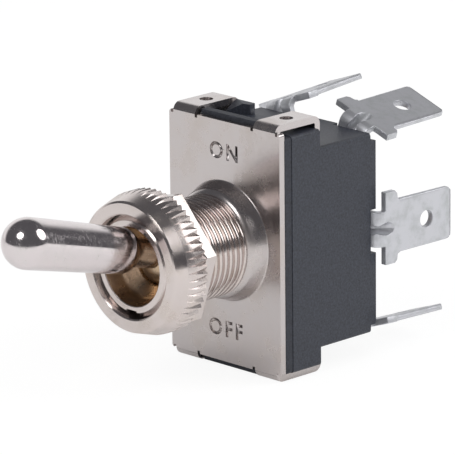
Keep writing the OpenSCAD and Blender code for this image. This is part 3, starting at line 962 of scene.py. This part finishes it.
class SWITCH_OT_lever(bpy.types.Operator):
    """Builds the bat lever, with its neck and ball"""

    bl_idname = "toggle_switch.lever"
    bl_label = "Lever"

    def execute(self, context):
        part = context.scene.toggle_switch.lever
        tip_r, bat_r, blend = part.tip_radius, part.shoulder_radius, part.shoulder_blend
        bat_length = part.tip_place - part.shoulder_place
        outline = [(0, -part.tail_place), (part.tail_radius, -part.tail_place)]
        outline += arc(
            (0, 0), part.ball_radius, -math.acos(part.tail_radius / part.ball_radius),
            math.acos(part.neck_radius / part.ball_radius), steps=32,
        )
        slim = math.asin((tip_r - bat_r) / bat_length)
        rear = math.acos((part.neck_radius - bat_r + blend) / blend)
        outline += arc((bat_r - blend, part.shoulder_place), blend, -rear, -slim, steps=20)
        rows = 12
        for i in range(1, rows):
            t = i / rows
            outline.append((bat_r + (tip_r - bat_r) * t, part.shoulder_place + bat_length * t))
        outline += arc((0, part.tip_place), tip_r, -slim, math.pi / 2, steps=48)
        columns = 128
        bm = turned_bmesh(outline, even_angles(columns), closed=False)
        mesh = mesh_from("lever_bat", bm, along_lever(part, (0, -part.pivot, 0)))
        piece = add_piece("lever_bat", mesh, "lever", ["Polished chrome", "Worn bore"], ["lever"])
        pivot = Vector((0, -part.pivot, 0)) * MM
        ball_reach = (part.ball_radius + 0.5) * MM
        for face in piece.data.polygons:
            if (face.center - pivot).length < ball_reach:
                face.material_index = 1
        return {"FINISHED"}


class SWITCH_OT_terminals(bpy.types.Operator):
    """Builds the six terminals and the rivets that hold them"""

    bl_idname = "toggle_switch.terminals"
    bl_label = "Terminals and rivets"

    def execute(self, context):
        part = context.scene.toggle_switch.contacts
        for row in ROWS:
            for side in SIDES:
                at = f"{row}_{side}"
                add_eased(
                    "blade_" + at, "terminal_" + at, part.blade_edge, "switch_body", "tin", "Tin plate",
                    segments=3, sharp=50, clamp=False,
                )
                add_eased(
                    "clinch_" + at, "rivet_" + at, RIVET_EDGE, "switch_body", "copper", "Contact copper"
                )
        return {"FINISHED"}


def spring_mesh(name, node, turns):
    """A closed coil of round wire that fills a CAD spring's place, in the lever's own direction."""
    wire_r, coil_r, length = 0.16, 0.62, 1.28
    sides, per_turn = 10, 20
    low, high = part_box(node)
    bm = bmesh.new()
    rings = []
    steps = turns * per_turn
    for i in range(steps + 1):
        angle = 2 * math.pi * i / per_turn
        z = length * (i / steps - 0.5)
        ring = []
        for b in even_angles(sides):
            r = coil_r + wire_r * math.cos(b)
            ring.append(bm.verts.new((r * math.cos(angle), r * math.sin(angle), z + wire_r * math.sin(b))))
        rings.append(ring)
    bridge(bm, rings, closed=True)
    bm.faces.new(rings[0])
    bm.faces.new(rings[-1])
    lever = bpy.context.scene.toggle_switch.lever
    return mesh_from(name, bm, along_lever(lever, (low + high) / 2 / MM))


class SWITCH_OT_inner_works(bpy.types.Operator):
    """Builds the pin, crossbar, plungers, springs and rockers inside the housing"""

    bl_idname = "toggle_switch.inner_works"
    bl_label = "Inner works"

    def execute(self, context):
        turns = context.scene.toggle_switch.contacts.spring_turns
        add_eased("pin_steel", "pivot_pin", INNER_EDGE, "lever", "steel", "Plain steel")
        add_eased("crossbar_nylon", "crossbar", INNER_EDGE, "lever", "nylon", "Natural nylon")
        for side in SIDES:
            plunger, spring, rocker = "plunger_" + side, "plunger_spring_" + side, "rocker_" + side
            add_eased("plunger_copper_" + side, plunger, INNER_EDGE, "lever", "copper", "Contact copper")
            name = "spring_wire_" + side
            add_piece(name, spring_mesh(name, spring, turns), "lever", ["Plain steel"], [spring])
            add_eased(
                "rocker_copper_" + side, rocker, INNER_EDGE, rocker, "copper", "Contact copper", clamp=False
            )
        return {"FINISHED"}


# Stage


def direction(azimuth, elevation):
    """A unit vector. Azimuth 0 points to the front, along -Y, and a quarter turn to the right."""
    level = math.cos(elevation)
    return Vector((math.sin(azimuth) * level, -math.cos(azimuth) * level, math.sin(elevation)))


def softbox(name, azimuth, elevation, distance, diameter, power):
    """A round area lamp that faces the switch, with its place in degrees and metres."""
    lamp = bpy.data.lights.new(name, "AREA")
    lamp.shape = "DISK"
    lamp.size = diameter
    lamp.energy = power
    holder = linked(name, lamp)
    toward = direction(math.radians(azimuth), math.radians(elevation))
    holder.location = toward * distance
    holder.rotation_mode = "QUATERNION"
    holder.rotation_quaternion = toward.to_track_quat("Z", "Y")


def white_floor(tone):
    """A pale floor that the camera and polished metal see as white, with the switch's shadow on it."""
    mat = bpy.data.materials.new("White floor")
    mat.use_nodes = True
    tree = mat.node_tree
    tree.nodes.clear()
    out = add_node(tree, "ShaderNodeOutputMaterial", (600, 0))
    both = add_node(tree, "ShaderNodeAddShader", (400, 0))
    diffuse = add_node(tree, "ShaderNodeBsdfDiffuse", (200, 100))
    glow = add_node(tree, "ShaderNodeEmission", (200, -100), Color=(1, 1, 1, 1))
    # The camera sees only a part of the floor's shade, and the glow makes up the rest
    shade = add_node(
        tree, "ShaderNodeMix", (0, 150), data_type="RGBA",
        A=(*tone, 1), B=(*[c * CAMERA_SHADE for c in tone], 1),
    )
    path = add_node(tree, "ShaderNodeLightPath", (-600, 100))
    mirrored = add_node(tree, "ShaderNodeMath", (-400, 0), operation="MAXIMUM")
    dimmed = add_node(tree, "ShaderNodeMath", (-200, 0), operation="MULTIPLY", second=MIRRORED_GLOW)
    strength = add_node(tree, "ShaderNodeMath", (0, -100), operation="MULTIPLY_ADD", second=CAMERA_GLOW)
    link_all(
        tree,
        (path, "Is Camera Ray", shade, "Factor"),
        (shade, "Result", diffuse, "Color"),
        (path, "Is Glossy Ray", mirrored, 0),
        (path, "Is Transmission Ray", mirrored, 1),
        (mirrored, 0, dimmed, 0),
        (path, "Is Camera Ray", strength, 0),
        (dimmed, 0, strength, 2),
        (strength, 0, glow, "Strength"),
        (diffuse, 0, both, 0),
        (glow, 0, both, 1),
        (both, 0, out, "Surface"),
    )
    return mat


def studio_world(stage):
    """White to the camera, even light to dull surfaces, and a backdrop in a dark room to metal."""
    world = bpy.data.worlds.new("Studio")
    bpy.context.scene.world = world
    world.use_nodes = True
    tree = world.node_tree
    tree.nodes.clear()
    white, dark = (1, 1, 1, 1), (stage.ceiling, stage.ceiling, stage.ceiling * 1.08, 1)
    out = add_node(tree, "ShaderNodeOutputWorld", (800, 0))
    place = add_node(tree, "ShaderNodeTexCoord", (-900, 0))
    backdrop = add_node(
        tree, "ShaderNodeVectorMath", (-700, 0), operation="DOT_PRODUCT", second=BACKDROP_SIDE
    )
    band = add_node(
        tree, "ShaderNodeMapRange", (-500, 0), interpolation_type="SMOOTHSTEP",
        From_Min=0.12, From_Max=0.4,
    )
    shown = add_node(tree, "ShaderNodeMix", (-250, 0), data_type="RGBA", A=dark, B=white)
    seen = add_node(tree, "ShaderNodeBackground", (0, 200), Color=white)
    fill = add_node(tree, "ShaderNodeBackground", (0, 0), Color=white, Strength=stage.fill)
    room = add_node(tree, "ShaderNodeBackground", (0, -200))
    path = add_node(tree, "ShaderNodeLightPath", (0, 500))
    by_gloss = add_node(tree, "ShaderNodeMixShader", (300, -50))
    by_camera = add_node(tree, "ShaderNodeMixShader", (550, 50))
    link_all(
        tree,
        (place, "Generated", backdrop, 0),
        (backdrop, "Value", band, "Value"),
        (band, "Result", shown, "Factor"),
        (shown, "Result", room, "Color"),
        (path, "Is Glossy Ray", by_gloss, "Fac"),
        (fill, 0, by_gloss, 1),
        (room, 0, by_gloss, 2),
        (path, "Is Camera Ray", by_camera, "Fac"),
        (by_gloss, 0, by_camera, 1),
        (seen, 0, by_camera, 2),
        (by_camera, 0, out, "Surface"),
    )


class SWITCH_OT_stage(bpy.types.Operator):
    """Builds the camera, the lamps, the room and the floor"""

    bl_idname = "toggle_switch.stage"
    bl_label = "Stage"

    def execute(self, context):
        stage = context.scene.toggle_switch.stage
        context.scene.view_settings.view_transform = "Standard"
        self.add_camera(context, stage)
        softbox("Left softbox", 4, 44, distance=0.5, diameter=0.22, power=stage.left_lamp)
        softbox("Right softbox", 130, 36, distance=0.5, diameter=0.364, power=stage.right_lamp)
        studio_world(stage)
        mesh = bpy.data.meshes.new("Floor")
        bm = bmesh.new()
        bmesh.ops.create_circle(bm, cap_ends=True, segments=96, radius=FLOOR_RADIUS)
        bm.to_mesh(mesh)
        bm.free()
        mesh.materials.append(white_floor(stage.floor))
        floor = linked("Floor", mesh)
        floor.location.z = CAD_BOX[0].z
        return {"FINISHED"}

    def add_camera(self, context, stage):
        """Puts the camera where the photograph's perspective says that it stood."""
        back = direction(stage.azimuth, stage.elevation)
        level = Vector((math.cos(stage.azimuth), math.sin(stage.azimuth), 0))
        upright = back.cross(level)
        cos_roll, sin_roll = math.cos(stage.roll), math.sin(stage.roll)
        right = level * cos_roll + upright * sin_roll
        up = upright * cos_roll - level * sin_roll
        camera = bpy.data.cameras.new("Camera")
        camera.sensor_width = 36
        camera.lens = stage.lens
        camera.clip_start = 0.05
        camera.clip_end = 10
        holder = linked("Camera", camera)
        aside, above = CAMERA_OFFSET
        place = back * stage.distance + right * aside * MM + up * above * MM
        turn = Matrix((right, up, back)).transposed().to_4x4()
        holder.matrix_world = Matrix.Translation(place) @ turn
        context.scene.camera = holder


OPERATORS = (
    SWITCH_OT_frame_plate,
    SWITCH_OT_housing,
    SWITCH_OT_bushing,
    SWITCH_OT_hex_nut,
    SWITCH_OT_dress_nut,
    SWITCH_OT_lever,
    SWITCH_OT_terminals,
    SWITCH_OT_inner_works,
    SWITCH_OT_stage,
)


class VIEW3D_PT_toggle_switch(bpy.types.Panel):
    """Lists the settings and the pieces of the toggle switch"""

    bl_label = "Toggle Switch"
    bl_space_type = "VIEW_3D"
    bl_region_type = "UI"
    bl_category = "Toggle Switch"

    def draw(self, context):
        settings = context.scene.toggle_switch
        for group in ToggleSwitchSettings.__annotations__:
            part = getattr(settings, group)
            box = self.layout.box()
            box.label(text=group.title())
            for field in type(part).__annotations__:
                box.prop(part, field)
        for operator in OPERATORS:
            self.layout.operator(operator.bl_idname)


CLASSES = (
    FrameSettings,
    HousingSettings,
    ThreadSettings,
    NutSettings,
    LeverSettings,
    ContactSettings,
    FinishSettings,
    StageSettings,
    ToggleSwitchSettings,
    *OPERATORS,
    VIEW3D_PT_toggle_switch,
)


def register():
    for cls in CLASSES:
        bpy.utils.register_class(cls)
    bpy.types.Scene.toggle_switch = PointerProperty(type=ToggleSwitchSettings)


def unregister():
    del bpy.types.Scene.toggle_switch
    for cls in reversed(CLASSES):
        bpy.utils.unregister_class(cls)


def main():
    register()
    for operator in OPERATORS:
        family, name = operator.bl_idname.split(".")
        getattr(getattr(bpy.ops, family), name)()
    bpy.context.view_layer.update()


if __name__ == "__main__":
    main()
